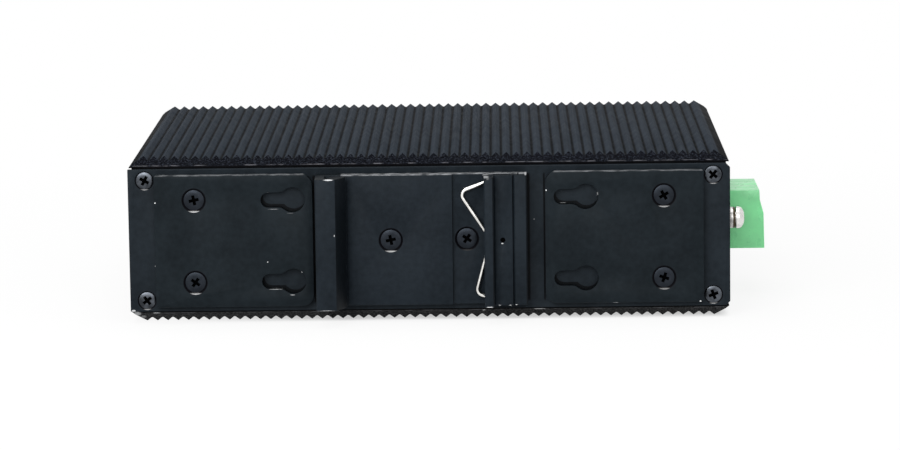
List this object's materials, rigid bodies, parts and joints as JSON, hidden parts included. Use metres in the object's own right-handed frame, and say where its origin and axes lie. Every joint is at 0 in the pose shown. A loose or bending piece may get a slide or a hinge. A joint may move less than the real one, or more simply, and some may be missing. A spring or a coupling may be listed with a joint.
{
  "type": "industrial network switch",
  "caption": "Fanless power-over-Ethernet network switch in a finned metal case, with a sprung rail clip and wall brackets on its back.",
  "frame": {"origin": "on the clip's rail seat, at half the length and half the height of the case", "axes": "+X along the case towards the supply terminals (up when it hangs on a rail), +Y from the rail towards the network ports, +Z across the case towards the upper finned cover"},
  "size_m": [0.1534, 0.1132, 0.04],
  "materials": {
    "cover_paint": "fine granular satin",
    "panel_paint": "satin",
    "bracket_paint": "satin",
    "clip_paint": "satin",
    "black_steel": "black oxide, satin",
    "bright_steel": "bright",
    "jack_shield": "bright",
    "jack_plastic": "matte",
    "gold": "bright",
    "circuit_board": "gloss",
    "light_pipe": "clear",
    "terminal_green": "matte",
    "chip_black": "matte",
    "pad_grey": "soft",
    "core_ferrite": "matte",
    "capacitor_sleeve": "gloss"
  },
  "bodies": {
    "case": {"board_screws": "bright_steel", "board_standoffs": "bright_steel", "bracket_screws": "black_steel", "bulk_capacitors": "capacitor_sleeve", "clinch_nuts": "bright_steel", "front_corner_screws": "black_steel", "front_panel": "panel_paint", "ground_flat_washer": "bright_steel", "ground_nut": "bright_steel", "ground_screw": "bright_steel", "ground_spring_washer": "bright_steel", "ground_toothed_washer": "bright_steel", "jack_lights": "light_pipe", "left_end_panel": "panel_paint", "left_wall_bracket": "bracket_paint", "lower_cover": "cover_paint", "main_board": "circuit_board", "port_1_contacts": "gold", "port_1_insert": "jack_plastic", "port_1_shield": "jack_shield", "port_2_contacts": "gold", "port_2_insert": "jack_plastic", "port_2_shield": "jack_shield", "port_3_contacts": "gold", "port_3_insert": "jack_plastic", "port_3_shield": "jack_shield", "port_4_contacts": "gold", "port_4_insert": "jack_plastic", "port_4_shield": "jack_shield", "port_5_contacts": "gold", "port_5_insert": "jack_plastic", "port_5_shield": "jack_shield", "port_transformers": "chip_black", "power_controllers": "chip_black", "power_inductors": "chip_black", "power_transformer": "core_ferrite", "rail_clip_base": "clip_paint", "rail_clip_screws": "black_steel", "rail_clip_spring": "bright_steel", "rear_corner_screws": "black_steel", "rear_panel": "panel_paint", "right_end_panel": "panel_paint", "right_wall_bracket": "bracket_paint", "status_light_pipes": "light_pipe", "switch_chip": "chip_black", "terminal_clamp_cages": "bright_steel", "terminal_clamp_screws": "bright_steel", "terminal_header": "terminal_green", "terminal_header_pins": "bright_steel", "terminal_plug": "terminal_green", "thermal_pad": "pad_grey", "upper_cover": "cover_paint"},
    "slider": {"rail_clip_slider": "clip_paint", "rail_clip_pin": "bright_steel"}
  },
  "joints": [
    {"name": "slider_travel", "type": "slide", "parent": "case", "child": "slider", "axis": [1, 0, 0], "range_m": [0, 0.0025], "stiffness_N_per_m": 4000, "springref_m": -0.0015, "deforming": ["rail_clip_spring"]}
  ]
}
